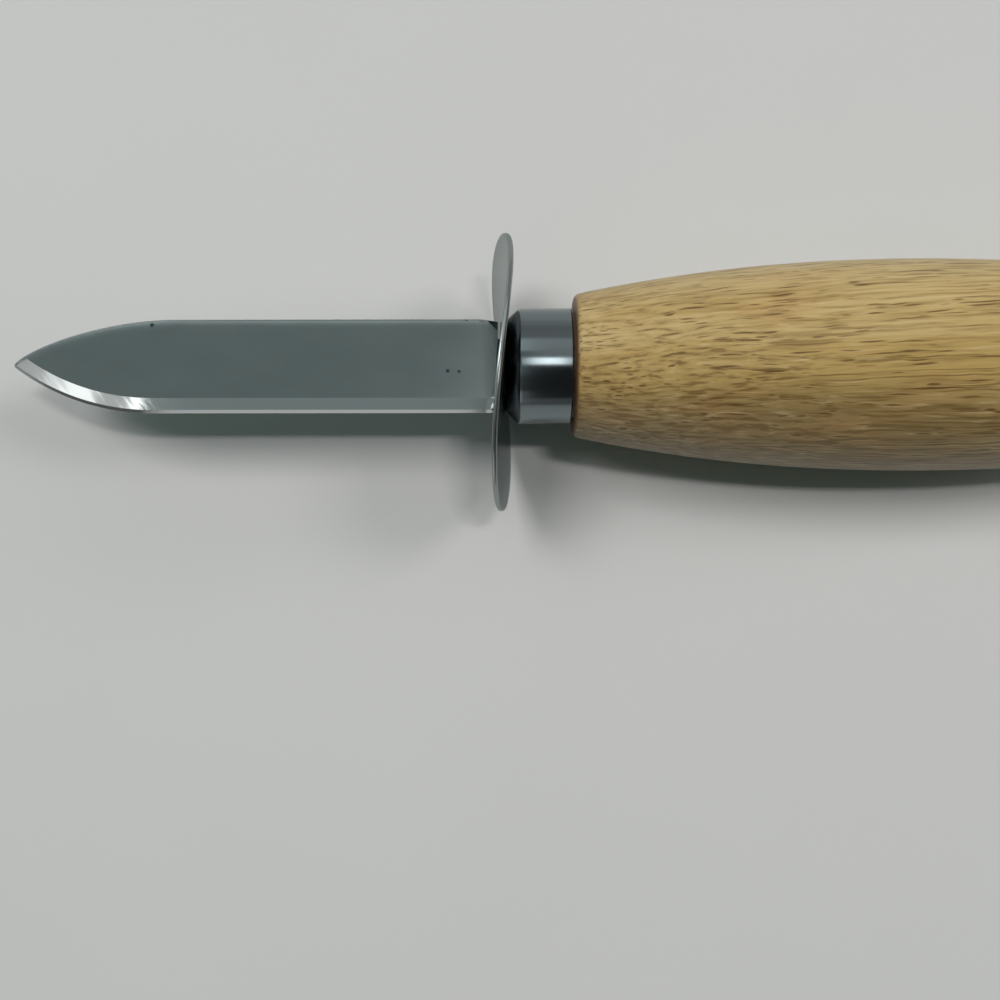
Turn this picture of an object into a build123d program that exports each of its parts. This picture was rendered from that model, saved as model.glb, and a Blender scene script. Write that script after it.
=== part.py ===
from build123d import *
import os
from math import acos, degrees, hypot, radians, sqrt, tan

os.makedirs("parts", exist_ok=True)

# An oyster knife lying on its side, in millimetres. X runs from the tip to the butt, Y from the
# cutting edge to the spine, and Z up. The blade lies flat. The knife rests on the belly of its
# handle and on the rim of its guard, and the origin is on the surface that it lies on, under the
# middle of the whole.

# One clearance between pieces that seat on each other, one for bonded faces, one overrun for cuts
seat_clearance = 0.05
bond_clearance = 0.02
overrun = 1.0

# Blade: a flat stamping, with its tang
blade_length = 73.0          # tip to shoulder
blade_width = 14.1
stock_thickness = 2.0
nose_height = 0.4            # the blunt end of the point
spine_curve_length = 24.0    # from the tip to where the spine runs straight
nose_handle_shares = (0.26, 0.69)  # of the curve's length and rise: how it leaves the nose
spine_handle_share = 0.26    # of the curve's length: how it comes into the straight
edge_curve_radius = 35.0     # the cutting edge curves up to the tip on one arc
spine_rounding = 0.25
root_relief_length = 2.8     # the spine dips a little just before the shoulder
root_relief_drop = 0.5
tang_width = 8.0
tang_length = 60.0           # shoulder to the end
tang_end_chamfer = 2.0

# The grind, alike on both faces: the whole face a little, then a wide bevel, then a narrow one,
# which leaves a blunt land. The root and the tang keep the thickness of the stock.
face_grind = 0.05
bevel_width = 2.2
bevel_depth_share = 0.55     # of what the two bevels take off one face
edge_bevel_width = 0.5
edge_land = 0.5
grind_stop = 0.9             # the grind ends this far before the shoulder

# Guard: an oval plate on the tang, dropped towards the cutting edge and twisted about its length.
# It is as wide as the handle's belly, so that the knife lies level.
guard_length = 41.6
guard_thickness = 0.8
guard_drop = 1.0
guard_twist_spine_side = 10.5  # degrees at the end
guard_twist_edge_side = 7.5
guard_rim_rounding = 0.2
slot_clearance = 0.1

# Ferrule: a drawn cup, its front wall slotted for the tang
ferrule_radius = 8.65
ferrule_length = 9.7
ferrule_wall = 0.8
ferrule_nose = 1.9           # how far its front corner is drawn in, both ways
ferrule_nose_rounding = 0.9
ferrule_lip_rounding = 0.2

# Handle: a turned barrel with a tenon inside the ferrule
handle_length = 102.0        # shoulder to butt
shoulder_step = 1.95         # the wood stands this far out past the ferrule
handle_belly_radius = 15.7
handle_butt_radius = 10.6
handle_front_rounding = 1.0
handle_butt_rounding = 4.5
barrel_power = 2.1           # how the radius falls away from the belly: 2 is a parabola
barrel_stations = 4          # stations on each side of the belly
shoulder_gap = 0.4           # between the ferrule's lip and the wood's shoulder
tang_bore_clearance = 0.5    # round the corners of the tang
tang_bore_reach = 2.0        # past the end of the tang
drill_point_angle = 118.0

# Places that follow
handle_front_radius = ferrule_radius + shoulder_step
guard_width = 2 * handle_belly_radius
ferrule_flat_radius = ferrule_radius - ferrule_nose
spine_reach = guard_length / 2 - guard_drop
edge_reach = guard_length / 2 + guard_drop
guard_twist_rate = max(
    tan(radians(guard_twist_spine_side)) / spine_reach,
    tan(radians(guard_twist_edge_side)) / edge_reach,
)
guard_lean_on_blade = guard_twist_rate * blade_width * stock_thickness / 4
guard_lean_on_ferrule = guard_twist_rate * ferrule_flat_radius**2 / 2
guard_seat = guard_lean_on_blade + seat_clearance
ferrule_seat = guard_lean_on_ferrule + seat_clearance
overall_length = (
    blade_length + guard_seat + guard_thickness + ferrule_seat + ferrule_length + shoulder_gap + handle_length
)

axis_y = guard_drop
axis_z = handle_belly_radius
tip_x = -overall_length / 2
root_x = tip_x + blade_length
guard_x = root_x + guard_seat + guard_thickness / 2
ferrule_x = guard_x + guard_thickness / 2 + ferrule_seat
handle_x = ferrule_x + ferrule_length + shoulder_gap
butt_x = handle_x + handle_length

spine_y = axis_y + blade_width / 2
edge_y = axis_y - blade_width / 2
nose_y = axis_y + nose_height
nose_handle_along, nose_handle_out = nose_handle_shares
spine_start_x = tip_x + spine_curve_length
edge_arc_drop = blade_width / 2
edge_arc_run = sqrt(edge_curve_radius**2 - (edge_curve_radius - edge_arc_drop) ** 2)
edge_start_x = tip_x + edge_arc_run
tang_end_x = root_x + tang_length

# The bore for the tang and what fills it
tenon_radius = ferrule_radius - ferrule_wall - seat_clearance
tenon_x = ferrule_x + ferrule_wall + seat_clearance
bore_radius = hypot(tang_width, stock_thickness) / 2 + tang_bore_clearance
bore_end_x = tang_end_x + tang_bore_reach

knife_axis = Axis((0, axis_y, axis_z), (1, 0, 0))
blade_plane = Plane.XY.offset(axis_z)
# Sections of the round pieces: local x along the knife, local y out from its axis
section_plane = Plane(origin=(0, axis_y, axis_z), x_dir=(1, 0, 0), z_dir=(0, -1, 0))


def cross_plane(x):
    """A plane across the knife at x: local x towards the spine, local y up."""
    return Plane(origin=(x, axis_y, axis_z), x_dir=(0, 1, 0), z_dir=(1, 0, 0))


# What the grinding takes off the upper face, along the straight edge and round the curve
edge_plane = Plane(origin=(edge_start_x, edge_y, axis_z), x_dir=(0, 1, 0), z_dir=(1, 0, 0))
edge_arc_axis = Axis((edge_start_x, edge_y + edge_curve_radius, axis_z), (0, 0, -1))
edge_arc_angle = degrees(acos((edge_curve_radius - edge_arc_drop - overrun) / edge_curve_radius))
half_stock = stock_thickness / 2
half_blade = half_stock - face_grind
half_land = edge_land / 2
bevel_depth = bevel_depth_share * (half_blade - half_land)

with BuildPart() as grind:
    with BuildSketch(edge_plane) as grind_section:
        with BuildLine():
            Polyline(
                (blade_width + overrun, half_blade),
                (bevel_width, half_blade),
                (edge_bevel_width, half_blade - bevel_depth),
                (0, half_land),
                (-overrun, half_land),
                (-overrun, half_stock + overrun),
                (blade_width + overrun, half_stock + overrun),
                close=True,
            )
        make_face()
    extrude(amount=root_x - grind_stop - edge_start_x)
    revolve(grind_section.sketch, axis=edge_arc_axis, revolution_arc=edge_arc_angle)

with BuildPart() as blade:
    with BuildSketch(blade_plane.offset(-half_stock)):
        with BuildLine():
            relief = Line((root_x, spine_y - root_relief_drop), (root_x - root_relief_length, spine_y))
            spine = Line(relief @ 1, (spine_start_x, spine_y))
            spine_curve = Bezier(
                spine @ 1,
                (spine_start_x - spine_handle_share * spine_curve_length, spine_y),
                (tip_x + nose_handle_along * spine_curve_length, nose_y + nose_handle_out * (spine_y - nose_y)),
                (tip_x, nose_y),
            )
            nose = Line(spine_curve @ 1, (tip_x, axis_y))
            edge_curve = TangentArc((edge_start_x, edge_y), nose @ 1, tangent=(-1, 0))
            edge = Line((edge_start_x, edge_y), (root_x, edge_y))
            Polyline(edge @ 1, (root_x, axis_y - tang_width / 2), (tang_end_x, axis_y - tang_width / 2),
                     (tang_end_x, axis_y + tang_width / 2), (root_x, axis_y + tang_width / 2), relief @ 0)
        make_face()
    extrude(amount=stock_thickness)
    tang_corners = blade.edges().filter_by(Axis.Z).group_by(Axis.X)[-1]
    chamfer(tang_corners, length=tang_end_chamfer)
    spine_edges = blade.edges().filter_by(Axis.X).group_by(Axis.Y)[-1]
    fillet(spine_edges, radius=spine_rounding)
    add(grind.part, mode=Mode.SUBTRACT)
    mirror(grind.part, about=blade_plane, mode=Mode.SUBTRACT)
blade.part.label = "blade"
export_step(blade.part, "parts/blade.step")

# The plate runs smoothly through three sections, each turned about the knife's Y direction
guard_stations = (
    (-edge_reach, -guard_twist_edge_side),
    (0, 0),
    (spine_reach, guard_twist_spine_side),
)
with BuildPart() as guard:
    for reach, twist in guard_stations:
        station = Plane(origin=(guard_x, axis_y + reach, axis_z), x_dir=(1, 0, 0), z_dir=(0, 1, 0))
        with BuildSketch(station.rotated((0, twist, 0))):
            Rectangle(guard_thickness, guard_width + 2 * overrun)
    loft()
    with BuildSketch(cross_plane(guard_x)):
        with Locations((-guard_drop, 0)):
            Ellipse(guard_length / 2, guard_width / 2)
    extrude(amount=guard_width / 2, both=True, mode=Mode.INTERSECT)
    rim_edges = guard.edges().filter_by(lambda rim: rim.length > guard_thickness)
    fillet(rim_edges, radius=guard_rim_rounding)
    with BuildSketch(cross_plane(guard_x)):
        Rectangle(tang_width + 2 * slot_clearance, stock_thickness + 2 * slot_clearance)
    extrude(amount=guard_thickness + overrun, both=True, mode=Mode.SUBTRACT)
guard.part.label = "guard"
export_step(guard.part, "parts/guard.step")

with BuildPart() as ferrule:
    with BuildSketch(section_plane):
        with BuildLine():
            Polyline(
                (ferrule_x, 0),
                (ferrule_x, ferrule_flat_radius),
                (ferrule_x + ferrule_nose, ferrule_radius),
                (ferrule_x + ferrule_length, ferrule_radius),
                (ferrule_x + ferrule_length, 0),
                close=True,
            )
        make_face()
    revolve(axis=knife_axis)
    nose_edges = ferrule.edges().filter_by(GeomType.CIRCLE).sort_by(Axis.X)[:2]
    fillet(nose_edges, radius=ferrule_nose_rounding)
    offset(amount=-ferrule_wall, openings=ferrule.faces().sort_by(Axis.X)[-1])
    lip_edge = ferrule.edges().group_by(Axis.X)[-1].sort_by(SortBy.RADIUS)[-1]
    fillet(lip_edge, radius=ferrule_lip_rounding)
    with BuildSketch(cross_plane(ferrule_x)):
        Rectangle(tang_width + 2 * slot_clearance, stock_thickness + 2 * slot_clearance)
    extrude(amount=ferrule_wall + overrun, both=True, mode=Mode.SUBTRACT)
ferrule.part.label = "ferrule"
export_step(ferrule.part, "parts/ferrule.step")


def bore_profile(radius, start_x, end_x):
    """Half the section of a hole drilled from start_x to end_x, with the cone that the drill leaves."""
    cone = radius / tan(radians(drill_point_angle / 2))
    Polyline((start_x, 0), (start_x, radius), (end_x, radius), (end_x + cone, 0), close=True)


def barrel_radius(share, end_radius):
    """The handle's radius at a share of the way from its belly to one end."""
    return handle_belly_radius - (handle_belly_radius - end_radius) * share**barrel_power


belly_x = handle_x + handle_length / 2
station_shares = [station / barrel_stations for station in range(1, barrel_stations + 1)]
front_points = [
    (belly_x - share * handle_length / 2, barrel_radius(share, handle_front_radius))
    for share in reversed(station_shares)
]
butt_points = [
    (belly_x + share * handle_length / 2, barrel_radius(share, handle_butt_radius))
    for share in station_shares
]
with BuildPart() as handle:
    with BuildSketch(section_plane) as handle_section:
        with BuildLine():
            barrel = Spline(*front_points, (belly_x, handle_belly_radius), *butt_points)
            Polyline(
                barrel @ 1,
                (butt_x, 0),
                (tenon_x, 0),
                (tenon_x, tenon_radius - ferrule_nose),
                (tenon_x + ferrule_nose, tenon_radius),
                (handle_x, tenon_radius),
                barrel @ 0,
            )
        make_face()
        butt_corner = handle_section.vertices().sort_by_distance(barrel @ 1)[0]
        fillet(butt_corner, radius=handle_butt_rounding)
        front_corner = handle_section.vertices().sort_by_distance(barrel @ 0)[0]
        fillet(front_corner, radius=handle_front_rounding)
    revolve(axis=knife_axis)
    with BuildSketch(section_plane):
        with BuildLine():
            bore_profile(bore_radius, tenon_x, bore_end_x)
        make_face()
    revolve(axis=knife_axis, mode=Mode.SUBTRACT)
handle.part.label = "handle"
export_step(handle.part, "parts/handle.step")

with BuildPart() as tang_adhesive:
    with BuildSketch(section_plane):
        with BuildLine():
            bore_profile(bore_radius - bond_clearance, tenon_x, bore_end_x)
        make_face()
    revolve(axis=knife_axis)
    with BuildSketch(cross_plane(tenon_x)):
        Rectangle(tang_width + 2 * bond_clearance, stock_thickness + 2 * bond_clearance)
    extrude(amount=tang_end_x + bond_clearance - tenon_x, mode=Mode.SUBTRACT)
tang_adhesive.part.label = "tang_adhesive"
export_step(tang_adhesive.part, "parts/tang_adhesive.step")
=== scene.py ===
from math import asin, cos, hypot, pi, radians, sin, sqrt, tan

import bmesh
import bpy
from mathutils import Matrix, Vector
from mathutils.geometry import delaunay_2d_cdt


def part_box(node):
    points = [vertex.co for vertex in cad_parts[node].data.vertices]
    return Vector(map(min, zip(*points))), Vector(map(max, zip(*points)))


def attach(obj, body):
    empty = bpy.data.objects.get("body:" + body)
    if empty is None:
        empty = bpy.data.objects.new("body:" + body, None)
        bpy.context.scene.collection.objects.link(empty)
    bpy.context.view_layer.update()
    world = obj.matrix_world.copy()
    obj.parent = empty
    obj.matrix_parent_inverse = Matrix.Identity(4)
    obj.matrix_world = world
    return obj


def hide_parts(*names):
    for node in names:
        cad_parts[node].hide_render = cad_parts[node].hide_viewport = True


# An oyster knife lying on its side on a pale table. X runs from the tip to the butt, Y from the
# cutting edge to the spine, and Z up. Lengths are written in millimetres, and mm turns them to metres.
mm = 0.001
scene = bpy.context.scene
scene.view_settings.view_transform = "Standard"

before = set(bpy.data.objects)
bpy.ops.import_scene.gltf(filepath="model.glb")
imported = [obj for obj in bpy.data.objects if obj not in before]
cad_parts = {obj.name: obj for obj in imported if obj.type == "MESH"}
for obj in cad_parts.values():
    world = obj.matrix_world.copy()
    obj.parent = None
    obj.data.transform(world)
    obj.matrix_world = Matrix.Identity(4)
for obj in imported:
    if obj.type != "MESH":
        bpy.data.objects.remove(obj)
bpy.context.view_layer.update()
blade_low, blade_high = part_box("blade")
guard_low, guard_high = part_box("guard")
ferrule_low, ferrule_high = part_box("ferrule")
handle_low, handle_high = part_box("handle")

# The knife's axis, and where each piece starts and ends along it
axis_y = (blade_low.y + blade_high.y) / 2
axis_z = (blade_low.z + blade_high.z) / 2
tip_x = blade_low.x
blade_length = 73 * mm
root_x = tip_x + blade_length
tang_end_x = blade_high.x
guard_x = (guard_low.x + guard_high.x) / 2
ferrule_x = ferrule_low.x
ferrule_end_x = ferrule_high.x
shoulder_gap = 0.4 * mm          # between the ferrule's lip and the handle's shoulder
handle_x = ferrule_end_x + shoulder_gap
tenon_x = handle_low.x
butt_x = handle_high.x

# Blade
spine_y = blade_high.y
edge_y = blade_low.y
half_stock = (blade_high.z - blade_low.z) / 2
nose_y = axis_y + 0.4 * mm       # the tip is a little nearer the spine
spine_curve_length = 24 * mm     # from the tip to where the spine runs straight
spine_handle_share = 0.26        # the curve's handles, as shares of its length and height
nose_handle_shares = (0.26, 0.69)
edge_curve_radius = 35 * mm
relief_length = 2.8 * mm         # the spine dips a little before the shoulder
relief_drop = 0.5 * mm
tang_width = 8 * mm
tang_end_chamfer = 2 * mm
face_grind = 0.05 * mm           # ground off each face, up to the shoulder
bevel_width = 2.2 * mm
bevel_drop = 0.36 * mm
edge_bevel_width = 0.45 * mm     # the narrow bevel that leaves the blunt edge
half_land = 0.16 * mm            # half the blunt edge's thickness
grind_fade = 0.9 * mm            # the grind runs out over this length
grind_stop = 0.2 * mm            # and is gone this far before the shoulder
corner_length = 1.35 * mm        # a dressed-off corner beside the shoulder, on the spine's side
corner_width = 1.4 * mm
corner_drop = 0.25 * mm
spine_rounding = 0.25 * mm
spine_fall = 0.07 * mm           # the face rolls off this much towards the spine
spine_fall_width = 1.7 * mm
blade_point_spacing = 0.5 * mm
# The mesh has lines along the spine, this far inside it, and its inner lines keep a margin to the outline
spine_insets = (0.03 * mm, 0.1 * mm, spine_rounding, 0.6 * mm, 1.1 * mm, spine_fall_width)
line_margin = 0.02 * mm

# Guard: an oval plate, twisted more on the spine's side
guard_half_length = (guard_high.y - guard_low.y) / 2
guard_half_width = (guard_high.z - guard_low.z) / 2
guard_centre_y = (guard_high.y + guard_low.y) / 2
guard_half_thickness = 0.4 * mm
guard_rim_rounding = 0.32 * mm
spine_reach = guard_high.y - axis_y
edge_reach = axis_y - guard_low.y
spine_side_twist = tan(radians(10.5))
edge_side_twist = tan(radians(6.3))
guard_bow = 0.2 * mm             # its middle is bowed this much towards the ferrule
slot_clearance = 0.1 * mm
slot_half_width = tang_width / 2 + slot_clearance
slot_half_height = half_stock + slot_clearance

# Ferrule: a drawn cup
ferrule_radius = (ferrule_high.y - ferrule_low.y) / 2
ferrule_wall = 0.8 * mm
ferrule_nose = 1.9 * mm
ferrule_nose_rounding = 0.9 * mm
ferrule_lip_rounding = 0.2 * mm
ferrule_slot_margin = 0.5 * mm   # from the slot's ends to the first round ring

# Handle: a turned barrel
belly_radius = (handle_high.z - handle_low.z) / 2
belly_x = (handle_x + butt_x) / 2
end_radius = 10.6 * mm
barrel_power = 2.1
front_rounding = 1.0 * mm
butt_rounding = 4.5 * mm
tenon_radius = 7.8 * mm
adhesive_gap = 0.5 * mm          # at the tang's corners
bore_radius = hypot(tang_width, 2 * half_stock) / 2 + adhesive_gap
bore_past_tang = 2 * mm
bore_end_x = tang_end_x + bore_past_tang
drill_half_angle = radians(59)
drill_cone = bore_radius / tan(drill_half_angle)
handle_steps = 120
round_segments = 256
sharp_turn = radians(8)          # edges that turn by more than this are drawn sharp

# Camera: above the guard and a little to the cutting edge's side, looking down and slightly to the spine
camera = bpy.data.objects.new("camera", bpy.data.cameras.new("camera"))
scene.collection.objects.link(camera)
scene.camera = camera
camera.data.lens = 36
camera.data.sensor_width = 36
camera.data.clip_start = 1 * mm
camera_lean_to_spine = 0.046
camera_lean_to_tip = 0.008
camera_from_guard = 1.0 * mm
camera_to_edge_side = 27.0 * mm
camera_height = 149.5 * mm
camera.location = (guard_x + camera_from_guard, axis_y - camera_to_edge_side, axis_z + camera_height)
camera_back = Vector((camera_lean_to_tip, -camera_lean_to_spine, 1)).normalized()
camera_side = Vector((0, 1, 0)).cross(camera_back).normalized()
camera_up = camera_back.cross(camera_side)
camera.rotation_euler = Matrix((camera_side, camera_up, camera_back)).transposed().to_euler()


def linear(colour):
    """An sRGB hex colour as linear red, green, blue and alpha."""
    shares = [int(colour[place:place + 2], 16) / 255 for place in (0, 2, 4)]
    return [s / 12.92 if s <= 0.04045 else ((s + 0.055) / 1.055) ** 2.4 for s in shares] + [1.0]


def add_node(tree, kind, inputs=(), **settings):
    """Adds a node with its settings. An input is linked where it is a socket, and set where it is a value."""
    node = tree.nodes.new(kind)
    for name, value in settings.items():
        setattr(node, name, value)
    for name, value in dict(inputs).items():
        if isinstance(value, bpy.types.NodeSocket):
            tree.links.new(value, node.inputs[name])
        else:
            node.inputs[name].default_value = value
    return node


def new_material(name):
    """A material with an empty tree, and its tree."""
    material = bpy.data.materials.new(name)
    material.use_nodes = True
    material.node_tree.nodes.clear()
    return material, material.node_tree


def new_piece(name, points, faces, node, slot, materials, finish_at=None):
    """A smooth-shaded mesh that stands for a CAD node. finish_at gives the place of a face's material in
    the list from the face's middle."""
    mesh = bpy.data.meshes.new(name)
    piece = bpy.data.objects.new(name, mesh)
    scene.collection.objects.link(piece)
    bm = bmesh.new()
    corners = [bm.verts.new(point) for point in points]
    for face in faces:
        bm.faces.new([corners[corner] for corner in face])
    bmesh.ops.recalc_face_normals(bm, faces=bm.faces)
    for face in bm.faces:
        face.smooth = True
        if finish_at:
            face.material_index = finish_at(face.calc_center_median())
    for edge in bm.edges:
        edge.smooth = edge.calc_face_angle(0) < sharp_turn
    bm.to_mesh(mesh)
    bm.free()
    for material in materials:
        mesh.materials.append(material)
    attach(piece, "root")
    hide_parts(node)


def skin(rings, closed=False):
    """Points and faces of a skin over rings of points. A ring of one point is a pole."""
    points, starts = [], []
    for ring in rings:
        starts.append(len(points))
        points.extend(ring)
    pairs = list(zip(range(len(rings)), range(1, len(rings))))
    if closed:
        pairs.append((len(rings) - 1, 0))
    faces = []
    for one, two in pairs:
        count = max(len(rings[one]), len(rings[two]))
        for step in range(count):
            after = (step + 1) % count
            near = [starts[one] + step, starts[one] + after] if len(rings[one]) > 1 else [starts[one]]
            far = [starts[two] + after, starts[two] + step] if len(rings[two]) > 1 else [starts[two]]
            faces.append(near + far)
    return points, faces


def circle_ring(x, radius):
    """A ring round the knife's axis, or one point where the radius is zero."""
    if radius == 0:
        return [(x, axis_y, axis_z)]
    turns = [2 * pi * step / round_segments for step in range(round_segments)]
    return [(x, axis_y + radius * cos(turn), axis_z + radius * sin(turn)) for turn in turns]


def slot_ring(x):
    """A ring with the tang slot's outline, its points at the same angles as a circle ring's."""
    ring = []
    for step in range(round_segments):
        turn = 2 * pi * step / round_segments
        reach = min(
            slot_half_width / max(abs(cos(turn)), 1e-9),
            slot_half_height / max(abs(sin(turn)), 1e-9),
        )
        ring.append((x, axis_y + reach * cos(turn), axis_z + reach * sin(turn)))
    return ring


def rounded(profile, roundings, steps=8):
    """A profile of 2-D points with some corners rounded: roundings gives the radius by the corner's place."""
    made = []
    for place, point in enumerate(profile):
        radius = roundings.get(place)
        if not radius:
            made.append(point)
            continue
        corner = Vector(point)
        before = (Vector(profile[place - 1]) - corner).normalized()
        after = (Vector(profile[place + 1]) - corner).normalized()
        half_angle = before.angle(after) / 2
        centre = corner + (before + after).normalized() * (radius / sin(half_angle))
        start = corner + before * (radius / tan(half_angle)) - centre
        end = corner + after * (radius / tan(half_angle)) - centre
        for step in range(steps + 1):
            arm = start.lerp(end, step / steps).normalized() * radius
            made.append(tuple(centre + arm))
    return made


def cubic_bezier(share, one, two, three, four):
    """The point of a cubic Bezier at a share of its way."""
    left = 1 - share
    weights = (left**3, 3 * share * left**2, 3 * share**2 * left, share**3)
    return tuple(
        sum(weight * point[part] for weight, point in zip(weights, (one, two, three, four)))
        for part in (0, 1)
    )


# Satin stainless steel for the blade's faces: rolled and lightly polished. It mirrors softly, with faint
# clouds in its finish. Beside the shoulder it is painted darker: painted shade for the guard's dark
# reflection there. A few small pits are dark, each with its place from the tip and from the axis, and its
# radius.
blade_steel, tree = new_material("stainless_steel_satin")
place = add_node(tree, "ShaderNodeTexCoord").outputs["Object"]
clouds = add_node(tree, "ShaderNodeMapping", {"Vector": place, "Scale": (9 * mm, 4 * mm, 4 * mm)},
                  vector_type="TEXTURE")
clouds = add_node(tree, "ShaderNodeTexNoise", {"Vector": clouds.outputs[0], "Scale": 1.0, "Detail": 3.0})
tint = add_node(tree, "ShaderNodeMix", {"Factor": clouds.outputs["Fac"], "A": linear("9FA6A5"),
                                        "B": linear("AAB0AF")}, data_type="RGBA").outputs["Result"]
parts = add_node(tree, "ShaderNodeSeparateXYZ", {"Vector": place})
# Painted shade beside the shoulder; the pits share its dark colour
pit_and_shade_steel = linear("1E2424")
shoulder_shade = add_node(tree, "ShaderNodeMapRange", {
    "Value": parts.outputs["X"], "From Min": root_x - 3 * mm, "From Max": root_x - 0.3 * mm,
    "To Min": 0.0, "To Max": 0.35}, interpolation_type="SMOOTHSTEP")
tint = add_node(tree, "ShaderNodeMix", {"Factor": shoulder_shade.outputs[0], "A": tint, "B": pit_and_shade_steel},
                data_type="RGBA").outputs["Result"]
blade_pits = (
    (21.0 * mm, 6.2 * mm, 0.40 * mm),
    (65.5 * mm, -0.8 * mm, 0.34 * mm),
    (67.2 * mm, -0.9 * mm, 0.30 * mm),
    (68.3 * mm, 6.9 * mm, 0.30 * mm),
)
for from_tip, to_spine, radius in blade_pits:
    gap = add_node(tree, "ShaderNodeVectorMath", {
        0: place, 1: (tip_x + from_tip, axis_y + to_spine, blade_high.z)}, operation="DISTANCE")
    share = add_node(tree, "ShaderNodeMapRange", {
        "Value": gap.outputs["Value"], "From Min": radius, "From Max": radius / 2,
        "To Min": 0.0, "To Max": 0.8}, interpolation_type="SMOOTHSTEP")
    tint = add_node(tree, "ShaderNodeMix", {"Factor": share.outputs[0], "A": tint, "B": pit_and_shade_steel},
                    data_type="RGBA").outputs["Result"]
gloss = add_node(tree, "ShaderNodeMapRange", {"Value": clouds.outputs["Fac"], "To Min": 0.12, "To Max": 0.16})
shader = add_node(tree, "ShaderNodeBsdfPrincipled", {
    "Base Color": tint, "Metallic": 1.0, "Roughness": gloss.outputs[0]})
add_node(tree, "ShaderNodeOutputMaterial", {"Surface": shader.outputs[0]})

# The bevels are ground on a fine belt and buffed: brighter than the faces. Ripples break up what they
# mirror round the curve near the tip, and are faint on the straight part.
bevel_steel, tree = new_material("stainless_steel_buffed")
place = add_node(tree, "ShaderNodeTexCoord").outputs["Object"]
ripples = add_node(tree, "ShaderNodeMapping", {
    "Vector": place, "Rotation": (0, 0, radians(40)), "Scale": (1.6 * mm, 7 * mm, 5 * mm)},
    vector_type="TEXTURE")
ripples = add_node(tree, "ShaderNodeTexNoise", {"Vector": ripples.outputs[0], "Scale": 1.0, "Detail": 2.0})
parts = add_node(tree, "ShaderNodeSeparateXYZ", {"Vector": place})
rippled = add_node(tree, "ShaderNodeMapRange", {
    "Value": parts.outputs["X"], "From Min": tip_x + 20 * mm, "From Max": tip_x + 26 * mm,
    "To Min": 1.0, "To Max": 0.15}, interpolation_type="SMOOTHSTEP")
gloss = add_node(tree, "ShaderNodeMapRange", {
    "Value": ripples.outputs["Fac"], "To Min": 0.07, "To Max": 0.11})
relief = add_node(tree, "ShaderNodeBump", {
    "Height": ripples.outputs["Fac"], "Strength": rippled.outputs[0], "Distance": 0.02 * mm})
shader = add_node(tree, "ShaderNodeBsdfPrincipled", {
    "Base Color": linear("ABB0AF"), "Metallic": 1.0, "Roughness": gloss.outputs[0],
    "Normal": relief.outputs[0]})
add_node(tree, "ShaderNodeOutputMaterial", {"Surface": shader.outputs[0]})

# Behind the shoulder the steel has the dark skin of its hardening. The dressed-off corner beside it gets the
# same dark colour as painted shade, for the guard's dark reflection there.
scale_and_shade_steel, tree = new_material("steel_mill_scale_and_shade")
place = add_node(tree, "ShaderNodeTexCoord").outputs["Object"]
clouds = add_node(tree, "ShaderNodeTexNoise", {"Vector": place, "Scale": 1 / (2 * mm), "Detail": 3.0})
tint = add_node(tree, "ShaderNodeMix", {"Factor": clouds.outputs["Fac"], "A": linear("23292B"),
                                        "B": linear("363D40")}, data_type="RGBA")
shader = add_node(tree, "ShaderNodeBsdfPrincipled", {
    "Base Color": tint.outputs["Result"], "Metallic": 1.0, "Roughness": 0.4})
add_node(tree, "ShaderNodeOutputMaterial", {"Surface": shader.outputs[0]})

# Bright rolled stainless sheet for the guard
guard_steel, tree = new_material("stainless_sheet_bright")
place = add_node(tree, "ShaderNodeTexCoord").outputs["Object"]
clouds = add_node(tree, "ShaderNodeTexNoise", {"Vector": place, "Scale": 1 / (5 * mm), "Detail": 3.0})
gloss = add_node(tree, "ShaderNodeMapRange", {"Value": clouds.outputs["Fac"], "To Min": 0.20, "To Max": 0.24})
shader = add_node(tree, "ShaderNodeBsdfPrincipled", {
    "Base Color": linear("9FA5A4"), "Metallic": 1.0, "Roughness": gloss.outputs[0],
    "Specular Tint": linear("D6DAD9")})
add_node(tree, "ShaderNodeOutputMaterial", {"Surface": shader.outputs[0]})

# Deep-drawn steel for the ferrule: its barrel is polished, darker and more of a mirror than the blade,
# and its nose is painted dark: painted shade beside the guard
ferrule_steel, tree = new_material("drawn_steel_polished")
place = add_node(tree, "ShaderNodeTexCoord").outputs["Object"]
parts = add_node(tree, "ShaderNodeSeparateXYZ", {"Vector": place})
clouds = add_node(tree, "ShaderNodeTexNoise", {"Vector": place, "Scale": 1 / (4 * mm), "Detail": 3.0})
# Painted shade: the nose is dark, and the barrel's own colour takes over past it
past_nose_shade = add_node(tree, "ShaderNodeMapRange", {
    "Value": parts.outputs["X"], "From Min": ferrule_x + 1.1 * mm, "From Max": ferrule_x + 1.9 * mm},
    interpolation_type="SMOOTHSTEP")
tint = add_node(tree, "ShaderNodeMix", {"Factor": past_nose_shade.outputs[0], "A": linear("3A4249"),
                                        "B": linear("7D878A")}, data_type="RGBA")
gloss = add_node(tree, "ShaderNodeMapRange", {"Value": clouds.outputs["Fac"], "To Min": 0.13, "To Max": 0.17})
shader = add_node(tree, "ShaderNodeBsdfPrincipled", {
    "Base Color": tint.outputs["Result"], "Metallic": 1.0, "Roughness": gloss.outputs[0]})
add_node(tree, "ShaderNodeOutputMaterial", {"Surface": shader.outputs[0]})

# Pale open-grained hardwood, turned and lacquered. Its vessels show as dark dashes along the grain, some
# short and some drawn out into lines. The wood is tan on the spine's side and turns olive-brown towards the
# cutting
# edge: partly a browner heartwood and partly painted shade on the side turned from the light. The lacquer
# gives a satin skin.
handle_wood, tree = new_material("hardwood_lacquered")
place = add_node(tree, "ShaderNodeTexCoord").outputs["Object"]
grain_turn = (0, 0, radians(2.5))

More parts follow.
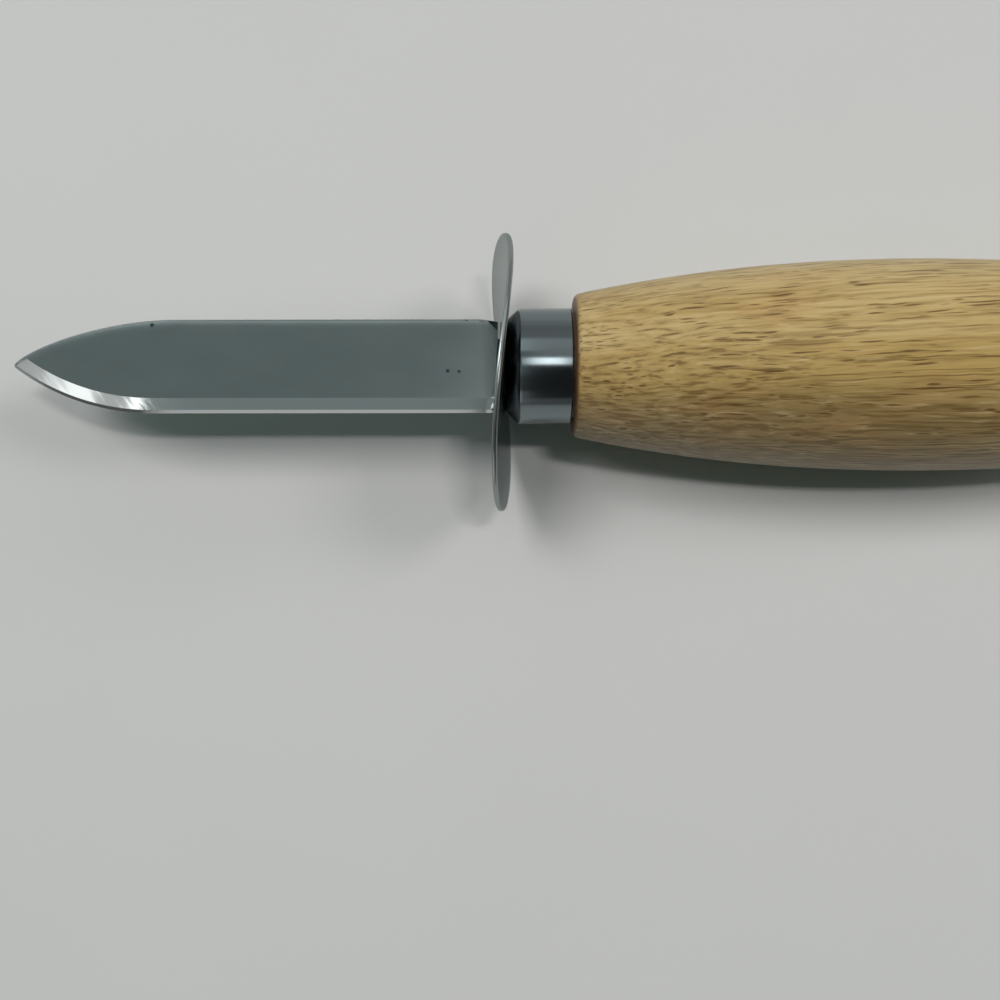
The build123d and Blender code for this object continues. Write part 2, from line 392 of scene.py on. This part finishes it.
# The grain wanders: each wave has its spacing along and across the grain, and how far it carries the grain
for along, across, reach in ((40 * mm, 9 * mm, 3 * mm), (5 * mm, 1.5 * mm, 0.5 * mm)):
    stretched = add_node(tree, "ShaderNodeMapping", {
        "Vector": place, "Rotation": grain_turn, "Scale": (along, across, across)}, vector_type="TEXTURE")
    drift = add_node(tree, "ShaderNodeTexNoise", {
        "Vector": stretched.outputs[0], "Scale": 1.0, "Detail": 1.0})
    drift = add_node(tree, "ShaderNodeVectorMath", {0: drift.outputs["Color"], 1: (0.5, 0.5, 0.5)},
                     operation="SUBTRACT")
    drift = add_node(tree, "ShaderNodeVectorMath", {0: drift.outputs[0], 1: (0, reach, reach)},
                     operation="MULTIPLY")
    drift = add_node(tree, "ShaderNodeVectorMath", {0: place, 1: drift.outputs[0]}, operation="ADD")
    place = drift.outputs[0]
parts = add_node(tree, "ShaderNodeSeparateXYZ", {"Vector": place})

# What varies along the grain, with its real spacing along and across it
grain = {}
for kind, along, across, detail in (
    ("bands", 120 * mm, 4.5 * mm, 2.0),
    ("patches", 14 * mm, 4 * mm, 1.0),
    ("fibres", 14 * mm, 0.5 * mm, 3.0),
    ("lines", 45 * mm, 0.5 * mm, 2.0),
):
    stretched = add_node(tree, "ShaderNodeMapping", {
        "Vector": place, "Rotation": grain_turn, "Scale": (along, across, across)}, vector_type="TEXTURE")
    noise = add_node(tree, "ShaderNodeTexNoise", {
        "Vector": stretched.outputs[0], "Scale": 1.0, "Detail": detail})
    grain[kind] = noise.outputs["Fac"]

# The browner heartwood and painted shade on the cutting edge's side follow the bands, and the dark lines
# gather towards the cutting edge
band_sway = 5 * mm
line_rise = -0.008 / mm
heartwood_and_shade_side = add_node(tree, "ShaderNodeMath", {0: grain["bands"], 1: band_sway, 2: parts.outputs["Y"]},
                     operation="MULTIPLY_ADD").outputs[0]
edge_lines = add_node(tree, "ShaderNodeMath", {0: parts.outputs["Y"], 1: line_rise, 2: grain["lines"]},
                      operation="MULTIPLY_ADD").outputs[0]

# Each tint of the wood is mixed over those before it, by a value that runs between two limits
wood_tints = (
    (grain["bands"], 0.35, 0.65, 1.0, "BFA873"),
    # Browner heartwood and painted shade towards the cutting edge
    (heartwood_and_shade_side, 5.9 * mm, 3.0 * mm, 1.0, "B2975B"),
    (heartwood_and_shade_side, 0.5 * mm, -5.0 * mm, 1.0, "947E51"),
    (grain["patches"], 0.52, 0.72, 0.30, "B58A55"),
    (edge_lines, 0.565, 0.665, 0.70, "6E5628"),
    (grain["fibres"], 0.46, 0.68, 0.55, "765D2C"),
    (grain["fibres"], 0.42, 0.28, 0.45, "D0BB8C"),
)
wood = linear("B59A62")
for value, start, end, most, colour in wood_tints:
    share = add_node(tree, "ShaderNodeMapRange", {
        "Value": value, "From Min": start, "From Max": end, "To Min": 0.0, "To Max": most})
    wood = add_node(tree, "ShaderNodeMix", {"Factor": share.outputs[0], "A": wood, "B": linear(colour)},
                    data_type="RGBA").outputs["Result"]

# Vessels: each kind has its spacing along and across the grain, its reach in those cells, how dark it
# is, and the least noise that shows it. The noise gathers the vessels into groups with soft edges.
vessel_kinds = (
    (9.0 * mm, 0.62 * mm, 0.28, 0.85, 0.46),
    (26.0 * mm, 0.62 * mm, 0.28, 0.90, 0.43),
    (16.0 * mm, 0.55 * mm, 0.28, 0.75, 0.41),
    (5.5 * mm, 0.90 * mm, 0.26, 0.90, 0.56),
)
group_edge = 0.12
pits = None
for along, across, reach, depth, least in vessel_kinds:
    cells = add_node(tree, "ShaderNodeMapping", {
        "Vector": place, "Location": (along, across, depth * mm), "Rotation": grain_turn,
        "Scale": (along, across, across)}, vector_type="TEXTURE")
    groups = add_node(tree, "ShaderNodeMapping", {"Vector": cells.outputs[0], "Scale": (1.6, 3.0, 3.0)},
                      vector_type="TEXTURE")
    groups = add_node(tree, "ShaderNodeTexNoise", {"Vector": groups.outputs[0], "Scale": 1.0, "Detail": 1.0})
    groups = add_node(tree, "ShaderNodeMapRange", {
        "Value": groups.outputs["Fac"], "From Min": least, "From Max": least + group_edge,
        "To Min": 0.0, "To Max": depth})
    cells = add_node(tree, "ShaderNodeTexVoronoi", {"Vector": cells.outputs[0], "Scale": 1.0})
    vessel = add_node(tree, "ShaderNodeMapRange", {
        "Value": cells.outputs["Distance"], "From Min": reach, "From Max": reach * 0.4,
        "To Min": 0.0, "To Max": groups.outputs[0]}, interpolation_type="SMOOTHSTEP")
    if pits:
        vessel = add_node(tree, "ShaderNodeMath", {0: pits, 1: vessel.outputs[0]}, operation="MAXIMUM")
    pits = vessel.outputs[0]
wood = add_node(tree, "ShaderNodeMix", {"Factor": pits, "A": wood, "B": linear("5C421E")}, data_type="RGBA")

# The handle's front rim is reddish brown: darker end grain, with painted shade in the gap by the ferrule. The
# vessels are fine grooves
rim_end_grain_and_shade = add_node(tree, "ShaderNodeMapRange", {
    "Value": parts.outputs["X"], "From Min": handle_x + 0.35 * mm, "From Max": handle_x + 0.05 * mm,
    "To Min": 0.0, "To Max": 0.8}, interpolation_type="SMOOTHSTEP")
wood = add_node(tree, "ShaderNodeMix", {"Factor": rim_end_grain_and_shade.outputs[0], "A": wood.outputs["Result"],
                                        "B": linear("6B4630")}, data_type="RGBA")
relief = add_node(tree, "ShaderNodeMath", {0: 1.0, 1: pits}, operation="SUBTRACT")
relief = add_node(tree, "ShaderNodeBump", {
    "Height": relief.outputs[0], "Strength": 0.4, "Distance": 0.06 * mm})
shader = add_node(tree, "ShaderNodeBsdfPrincipled", {
    "Base Color": wood.outputs["Result"], "Roughness": 0.5, "Normal": relief.outputs[0],
    "Coat Weight": 0.25, "Coat Roughness": 0.35})
add_node(tree, "ShaderNodeOutputMaterial", {"Surface": shader.outputs[0]})

# Cured epoxy: clear amber, seen only where the pieces are taken apart
epoxy, tree = new_material("epoxy_cured_amber")
place = add_node(tree, "ShaderNodeTexCoord").outputs["Object"]
haze = add_node(tree, "ShaderNodeTexNoise", {"Vector": place, "Scale": 1 / (3 * mm), "Detail": 2.0})
tint = add_node(tree, "ShaderNodeMix", {"Factor": haze.outputs["Fac"], "A": linear("B98A3E"),
                                        "B": linear("D3A85C")}, data_type="RGBA")
shader = add_node(tree, "ShaderNodeBsdfPrincipled", {"Base Color": tint.outputs["Result"], "Roughness": 0.18})
add_node(tree, "ShaderNodeOutputMaterial", {"Surface": shader.outputs[0]})

# The blade's outline: the spine's curve is one Bezier, and the cutting edge runs into an arc
edge_run = sqrt(edge_curve_radius**2 - (edge_curve_radius - (axis_y - edge_y)) ** 2)
edge_start_x = tip_x + edge_run
edge_arc_y = edge_y + edge_curve_radius
edge_arc_turn = asin(edge_run / edge_curve_radius)
spine_start_x = tip_x + spine_curve_length
curve_steps = 60
spine_handle = (spine_start_x - spine_handle_share * spine_curve_length, spine_y)
nose_handle = (
    tip_x + nose_handle_shares[0] * spine_curve_length,
    nose_y + nose_handle_shares[1] * (spine_y - nose_y),
)
spine_curve = [
    cubic_bezier(step / curve_steps, (spine_start_x, spine_y), spine_handle, nose_handle, (tip_x, nose_y))
    for step in range(curve_steps + 1)
]
spine_line = [Vector(point) for point in spine_curve]


def edge_offset_line(inset):
    """Points along the cutting edge from the nose to the shoulder, this far inside it."""
    radius = edge_curve_radius - inset
    turns = [edge_arc_turn * (1 - step / curve_steps) for step in range(curve_steps)]
    arc = [(edge_start_x - radius * sin(turn), edge_arc_y - radius * cos(turn)) for turn in turns]
    count = round((root_x - edge_start_x) / blade_point_spacing)
    return arc + [
        (edge_start_x + (root_x - edge_start_x) * step / count, edge_y + inset) for step in range(count + 1)
    ]


def spine_offset_line(inset):
    """Points along the spine from the shoulder's relief to the nose, this far inside it."""
    count = round((root_x - relief_length - spine_start_x) / blade_point_spacing)
    line = [
        (spine_start_x + (root_x - relief_length - spine_start_x) * (1 - step / count), spine_y - inset)
        for step in range(count)
    ]
    for place, point in enumerate(spine_curve):
        one, two = spine_curve[max(place - 1, 0)], spine_curve[min(place + 1, curve_steps)]
        along = Vector((two[0] - one[0], two[1] - one[1])).normalized()
        line.append((point[0] - along.y * inset, point[1] + along.x * inset))
    return line


def edge_distance(x, y):
    """How far a point of the blade is from its cutting edge."""
    if x > edge_start_x:
        return y - edge_y
    return edge_curve_radius - hypot(x - edge_start_x, y - edge_arc_y)


def spine_distance(x, y):
    """How far a point of the blade is from its spine."""
    if x > spine_start_x:
        return spine_y - y
    point = Vector((x, y))
    nearest = 1.0
    for one, two in zip(spine_line, spine_line[1:]):
        along = two - one
        share = min(max((point - one).dot(along) / along.length_squared, 0), 1)
        nearest = min(nearest, (one + along * share - point).length)
    return nearest


def smooth_share(value, low, high):
    """From 0 at low to 1 at high, easing in and out."""
    share = min(max((value - low) / (high - low), 0), 1)
    return share * share * (3 - 2 * share)


def corner_depth(x, y):
    """How far a point is beyond the line that cuts the corner off, from 0 on it to 1 in the corner."""
    return 1 - (root_x - x) / corner_length - (spine_y - relief_drop - y) / corner_width


# The two ends of that line, on the spine's relief and on the shoulder
corner_start = 1 / (1 / corner_length - relief_drop / (relief_length * corner_width))
corner_line = [
    (root_x - corner_start, spine_y - relief_drop * (1 - corner_start / relief_length)),
    (root_x, spine_y - relief_drop - corner_width),
]


def half_thickness(x, y):
    """Half the blade's thickness at a point: the stock, less what is ground and rolled off."""
    if x > root_x:
        return half_stock
    edge_inset, spine_inset = edge_distance(x, y), spine_distance(x, y)
    face = half_stock - face_grind
    if edge_inset >= bevel_width:
        ground = face
    elif edge_inset >= edge_bevel_width:
        ground = face - bevel_drop * (bevel_width - edge_inset) / (bevel_width - edge_bevel_width)
    else:
        ground = half_land + (face - bevel_drop - half_land) * max(edge_inset, 0) / edge_bevel_width
    root = smooth_share(x, root_x - grind_stop - grind_fade, root_x - grind_stop)
    thickness = ground + (face - ground) * root - corner_drop * max(corner_depth(x, y), 0)
    if spine_inset < spine_fall_width:
        thickness -= spine_fall * (1 - spine_inset / spine_fall_width) ** 2 * (1 - root)
    if spine_inset < spine_rounding:
        short = spine_rounding - max(spine_inset, 0)
        thickness -= spine_rounding - sqrt(spine_rounding**2 - short**2)
    return thickness


def blade_finish(middle):
    """Which of the blade's finishes a face has: its faces' satin, the buffed bevels, or the dark skin, which
    on the cut corner is painted shade.
    """
    if middle.x > root_x or corner_depth(middle.x, middle.y) > 0:
        return 2
    return 1 if edge_distance(middle.x, middle.y) < bevel_width else 0


outline = [
    *edge_offset_line(0),
    (root_x, axis_y - tang_width / 2),
    (tang_end_x - tang_end_chamfer, axis_y - tang_width / 2),
    (tang_end_x, axis_y - tang_width / 2 + tang_end_chamfer),
    (tang_end_x, axis_y + tang_width / 2 - tang_end_chamfer),
    (tang_end_x - tang_end_chamfer, axis_y + tang_width / 2),
    (root_x, axis_y + tang_width / 2),
    (root_x, spine_y - relief_drop),
    *spine_offset_line(0),
]
flat_points = [Vector(point) for point in outline]
flat_edges = []


def inside_blade(x, y, margin):
    """Whether a point is on the ground part of the blade, with a margin to its outline."""
    if not tip_x + margin < x < root_x - margin:
        return False
    relief = max(0, x - (root_x - relief_length)) * relief_drop / relief_length
    return edge_distance(x, y) > margin and spine_distance(x, y) > margin + relief


# Lines that the mesh follows: where the bevels meet, where the spine rounds and falls, and the cut corner
edge_insets = (edge_bevel_width, bevel_width)
inner_lines = [edge_offset_line(inset) for inset in edge_insets]
inner_lines += [spine_offset_line(inset) for inset in spine_insets]
inner_lines = [[point for point in line if inside_blade(*point, line_margin)] for line in inner_lines]
for line in [*inner_lines, corner_line]:
    flat_edges += [(len(flat_points) + step, len(flat_points) + step + 1) for step in range(len(line) - 1)]
    flat_points += [Vector(point) for point in line]

# Between them, points in staggered rows
rows = round((spine_y - edge_y) / blade_point_spacing)
columns = round((root_x - tip_x) / blade_point_spacing)
for row in range(1, rows):
    for column in range(1, columns):
        x = tip_x + column * blade_point_spacing + (row % 2) * blade_point_spacing / 2
        y = edge_y + row * blade_point_spacing
        clear = min(abs(edge_distance(x, y) - inset) for inset in edge_insets) > blade_point_spacing / 5
        if clear and inside_blade(x, y, blade_point_spacing / 3):
            flat_points.append(Vector((x, y)))

# Triangles inside the outline, where points that are closer than merge_distance become one
inside_only = 1
merge_distance = 1e-7
flat_points, _, flat_faces, *_ = delaunay_2d_cdt(
    flat_points, flat_edges, [list(range(len(outline)))], inside_only, merge_distance)
heights = [half_thickness(point.x, point.y) for point in flat_points]
point_count = len(flat_points)
blade_points = [(p.x, p.y, axis_z + height) for p, height in zip(flat_points, heights)]
blade_points += [(p.x, p.y, axis_z - height) for p, height in zip(flat_points, heights)]
blade_faces = [list(face) for face in flat_faces]
blade_faces += [[corner + point_count for corner in reversed(face)] for face in flat_faces]

# A side of one triangle only is on the outline, and gets a wall
sides = {}
for face in flat_faces:
    for one, two in zip(face, [*face[1:], face[0]]):
        sides[frozenset((one, two))] = None if frozenset((one, two)) in sides else (one, two)
for one, two in filter(None, sides.values()):
    blade_faces.append([two, one, one + point_count, two + point_count])
new_piece(
    "blade_ground", blade_points, blade_faces, "blade", "blade_steel", [blade_steel, bevel_steel, scale_and_shade_steel],
    finish_at=blade_finish,
)


def guard_x_at(y, z):
    """Where the middle of the twisted plate is along X."""
    along = y - axis_y
    spine_rate, edge_rate = spine_side_twist / spine_reach, edge_side_twist / edge_reach
    bend = (spine_rate - edge_rate) / (spine_reach + edge_reach)
    slope = along * (spine_rate - bend * spine_reach) + bend * along**2
    bow = guard_bow * (1 - (along / spine_reach) ** 2)
    return guard_x + bow + slope * (z - axis_z)


def guard_ring(share, inset, offset):
    """A ring of the plate, at a share of the way from its slot to its rim less an inset, and at an offset
    along X from the plate's middle."""
    ring = []
    for step, (_, slot_y, slot_z) in enumerate(slot_ring(0)):
        turn = 2 * pi * step / round_segments
        rim_y = guard_centre_y + (guard_half_length - inset) * cos(turn)
        rim_z = axis_z + (guard_half_width - inset) * sin(turn)
        y = slot_y + (rim_y - slot_y) * share
        z = slot_z + (rim_z - slot_z) * share
        ring.append((guard_x_at(y, z) + offset, y, z))
    return ring


plate_rings = 20
plate_shares = [step / plate_rings for step in range(plate_rings)]
rim_steps = 5
rim_turns = [pi / 2 * step / rim_steps for step in range(rim_steps + 1)]
rim = [
    (guard_rim_rounding * (1 - sin(turn)), guard_half_thickness - guard_rim_rounding * (1 - cos(turn)))
    for turn in rim_turns
]
face_rings = [(share, guard_rim_rounding, guard_half_thickness) for share in plate_shares]
face_rings += [(1, inset, offset) for inset, offset in rim]
guard_rings = [guard_ring(share, inset, -offset) for share, inset, offset in face_rings]
guard_rings += [guard_ring(share, inset, offset) for share, inset, offset in reversed(face_rings)]
new_piece("guard_plate", *skin(guard_rings, closed=True), "guard", "guard_steel", [guard_steel])

inner_radius = ferrule_radius - ferrule_wall
ferrule_profile = rounded(
    [
        (ferrule_x, slot_half_width + ferrule_slot_margin),
        (ferrule_x, ferrule_radius - ferrule_nose),
        (ferrule_x + ferrule_nose, ferrule_radius),
        (ferrule_end_x, ferrule_radius),
        (ferrule_end_x, inner_radius),
        (ferrule_x + ferrule_nose + ferrule_wall / 4, inner_radius),
        (ferrule_x + ferrule_wall, ferrule_radius - ferrule_nose - ferrule_wall / 2),
        (ferrule_x + ferrule_wall, slot_half_width + ferrule_slot_margin),
    ],
    {1: ferrule_nose_rounding, 2: ferrule_nose_rounding, 3: ferrule_lip_rounding},
)
ferrule_rings = [slot_ring(ferrule_x)]
ferrule_rings += [circle_ring(x, radius) for x, radius in ferrule_profile]
ferrule_rings += [slot_ring(ferrule_x + ferrule_wall)]
new_piece("ferrule_cup", *skin(ferrule_rings, closed=True), "ferrule", "ferrule_steel", [ferrule_steel])


def barrel_radius(x):
    """The handle's radius at a place along it."""
    share = abs(x - belly_x) / (butt_x - belly_x)
    return belly_radius - (belly_radius - end_radius) * share**barrel_power


# The barrel's points keep clear of its two rounded corners
barrel_start, barrel_end = handle_x + 2 * front_rounding, butt_x - 1.4 * butt_rounding
stations = [handle_x + (butt_x - handle_x) * step / handle_steps for step in range(handle_steps + 1)]
barrel = [(x, barrel_radius(x)) for x in stations if barrel_start < x < barrel_end]
front_corner, butt_corner = (handle_x, barrel_radius(handle_x)), (butt_x, barrel_radius(butt_x))
handle_profile = rounded(
    [
        (bore_end_x + drill_cone, 0),
        (bore_end_x, bore_radius),
        (tenon_x, bore_radius),
        (tenon_x, tenon_radius - ferrule_nose),
        (tenon_x + ferrule_nose, tenon_radius),
        (handle_x, tenon_radius),
        front_corner,
        *barrel,
        butt_corner,
        (butt_x, 0),
    ],
    {6: front_rounding, 7 + len(barrel): butt_rounding},
)
handle_rings = [circle_ring(x, radius) for x, radius in handle_profile]
new_piece("handle_barrel", *skin(handle_rings), "handle", "handle_wood", [handle_wood])

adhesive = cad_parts["tang_adhesive"]
adhesive.data.materials.clear()
adhesive.data.materials.append(epoxy)

# A pale laminate table top
table_top, tree = new_material("laminate_pale")
place = add_node(tree, "ShaderNodeTexCoord").outputs["Object"]
clouds = add_node(tree, "ShaderNodeTexNoise", {"Vector": place, "Scale": 1 / (60 * mm), "Detail": 3.0})
tint = add_node(tree, "ShaderNodeMix", {"Factor": clouds.outputs["Fac"], "A": linear("C7C9C7"),
                                        "B": linear("CBCDCB")}, data_type="RGBA")
shader = add_node(tree, "ShaderNodeBsdfPrincipled", {"Base Color": tint.outputs["Result"], "Roughness": 0.6})
add_node(tree, "ShaderNodeOutputMaterial", {"Surface": shader.outputs[0]})
half = 1500 * mm
floor_corners = [(-half, -half, 0), (half, -half, 0), (half, half, 0), (-half, half, 0)]
floor_mesh = bpy.data.meshes.new("table_top")
floor_mesh.from_pydata(floor_corners, [], [(0, 1, 2, 3)])
floor = bpy.data.objects.new("table_top", floor_mesh)
scene.collection.objects.link(floor)
floor_mesh.materials.append(table_top)

# Light: a small lamp overhead, a soft box on the tip's side, two low ones on the butt's side and a pale room.
# Each lamp faces the guard. Its row gives its lean from overhead to the butt and to the spine in degrees, its
# length along X and its width in metres, and its power in watts.
target = Vector((guard_x, axis_y, axis_z))
lamp_distance = 1.3
lamp_colour = linear("FFF8F9")[:3]
lamps = (
    ("overhead_lamp", 12, 6.4, 0.22, 0.07, 3.9),
    ("window_lamp", -25, 19, 0.50, 0.45, 7.4),
    ("low_lamp", 42, 22, 0.35, 0.35, 3.8),
    ("far_lamp", 72, 34, 0.35, 0.35, 4.0),
)
for name, to_butt, to_spine, length, width, power in lamps:
    lamp = bpy.data.objects.new(name, bpy.data.lights.new(name, "AREA"))
    scene.collection.objects.link(lamp)
    lamp.data.shape = "RECTANGLE"
    lamp.data.size = length
    lamp.data.size_y = width
    lamp.data.energy = power
    lamp.data.color = lamp_colour
    back = Vector((tan(radians(to_butt)), tan(radians(to_spine)), 1)).normalized()
    side = Vector((0, 1, 0)).cross(back).normalized()
    lamp.location = target + back * lamp_distance
    lamp.rotation_euler = Matrix((side, back.cross(side), back)).transposed().to_euler()
    lamp.visible_glossy = False

# Cards that only reflections show, in the metal and the lacquer. A card's row gives the two angles that it
# spans towards the butt and the two towards the spine, in degrees from overhead, then its distance from the
# guard in metres, its radiance and its colour. Nearer cards hide farther ones.
card_steps = 12
cards = (
    ("grey_card_overhead", (-50, 0.4), (-30, 20), 1.0, 0.255, "EBFFFF"),
    ("window_card", (-50, 0), (20, 45), 0.99, 0.9, "F2FFFD"),
    ("grey_card_spine_side", (-20, 40), (59, 76), 0.98, 0.33, "FFFFFF"),
    ("grey_card_horizon", (-20, 40), (76, 89), 0.98, 0.42, "FFFFFF"),
    ("grey_card_high", (-20, 40), (46, 59), 0.98, 0.35, "FFFFFF"),
    ("black_card_butt", (-1, 40), (-75, -8), 0.98, 0.03, "FFFFFF"),
    ("black_card_butt_side", (16, 85), (-8, 60), 0.97, 0.04, "FFFFFF"),
    ("bright_strip_overhead", (0.5, 7), (-6, 6.5), 0.96, 5.0, "FFFFFF"),
    ("pale_strip_edge_side", (-23, -1), (-24, -7), 0.94, 0.38, "F0FFFF"),
    ("pale_card_horizon", (-22, -2), (-88, -60), 0.97, 0.8, "FFFFFF"),
    ("grey_card_horizon_tip", (-25, -22), (-88, -60), 0.97, 0.4, "FFFFFF"),
    ("pale_strip_tip", (-48, -39.5), (-22, -2), 0.92, 0.80, "FFFFFF"),
    ("bright_strip_tip", (-39.5, -36.5), (-22, -5), 0.92, 1.5, "FFFFFF"),
    ("brightest_strip_tip", (-36.5, -31.5), (-22, -5), 0.92, 2.3, "FFFFFF"),
    ("pale_strip_bend", (-31.5, -26), (-22, -5), 0.92, 0.8, "FFFFFF"),
    ("bright_strip_bend", (-26, -24.2), (-22, -5), 0.92, 3.6, "FFFFFF"),
    ("pale_card_low_tip", (-85, -42), (20, 33), 0.91, 8.0, "FFFFFF"),
    ("black_card_low_tip", (-88, -52), (-30, 19), 0.91, 0.04, "FFFFFF"),
)
for name, to_butt, to_spine, distance, radiance, colour in cards:
    points, faces = [], []
    for row in range(card_steps + 1):
        up = radians(to_spine[0] + (to_spine[1] - to_spine[0]) * row / card_steps)
        for column in range(card_steps + 1):
            along = radians(to_butt[0] + (to_butt[1] - to_butt[0]) * column / card_steps)
            away = Vector((sin(along), cos(along) * sin(up), cos(along) * cos(up)))
            points.append(target + away * distance)
            if row and column:
                corner = row * (card_steps + 1) + column
                faces.append((corner, corner - 1, corner - card_steps - 2, corner - card_steps - 1))
    mesh = bpy.data.meshes.new(name)
    mesh.from_pydata(points, [], faces)
    card = bpy.data.objects.new(name, mesh)
    scene.collection.objects.link(card)
    paper, tree = new_material(name)
    glow = add_node(tree, "ShaderNodeEmission", {"Color": linear(colour), "Strength": radiance})
    add_node(tree, "ShaderNodeOutputMaterial", {"Surface": glow.outputs[0]})
    mesh.materials.append(paper)
    card.visible_camera = card.visible_diffuse = card.visible_shadow = False

# The room is darker on the cutting edge's side. It lights the table more dimly than reflections show it, with
# a green cast that is left in the shadows, and the camera sees it at one plain level.
room_dark, room_bright = 0.16, 0.60
diffuse_share = 0.45
camera_level = 0.58
room = bpy.data.worlds.new("pale_room")
scene.world = room
room.use_nodes = True
tree = room.node_tree
tree.nodes.clear()
way = add_node(tree, "ShaderNodeTexCoord").outputs["Generated"]
way = add_node(tree, "ShaderNodeSeparateXYZ", {"Vector": way})
bright = add_node(tree, "ShaderNodeMapRange", {
    "Value": way.outputs["Y"], "From Min": -0.6, "From Max": 0.7, "To Min": room_dark, "To Max": room_bright},
    interpolation_type="SMOOTHSTEP")
dim = add_node(tree, "ShaderNodeMath", {0: bright.outputs[0], 1: diffuse_share}, operation="MULTIPLY")
ray = add_node(tree, "ShaderNodeLightPath")
level = add_node(tree, "ShaderNodeMix", {
    "Factor": ray.outputs["Is Glossy Ray"], "A": dim.outputs[0], "B": bright.outputs[0]})
level = add_node(tree, "ShaderNodeMix", {
    "Factor": ray.outputs["Is Camera Ray"], "A": level.outputs["Result"], "B": camera_level})
plain = add_node(tree, "ShaderNodeMath", {0: ray.outputs["Is Camera Ray"], 1: ray.outputs["Is Glossy Ray"]},
                 operation="MAXIMUM")
tint = add_node(tree, "ShaderNodeMix", {
    "Factor": plain.outputs[0], "A": linear("C6EBE2"), "B": linear("FFFFFF")}, data_type="RGBA")
shade = add_node(tree, "ShaderNodeBackground", {
    "Color": tint.outputs["Result"], "Strength": level.outputs["Result"]})
add_node(tree, "ShaderNodeOutputWorld", {"Surface": shade.outputs[0]})
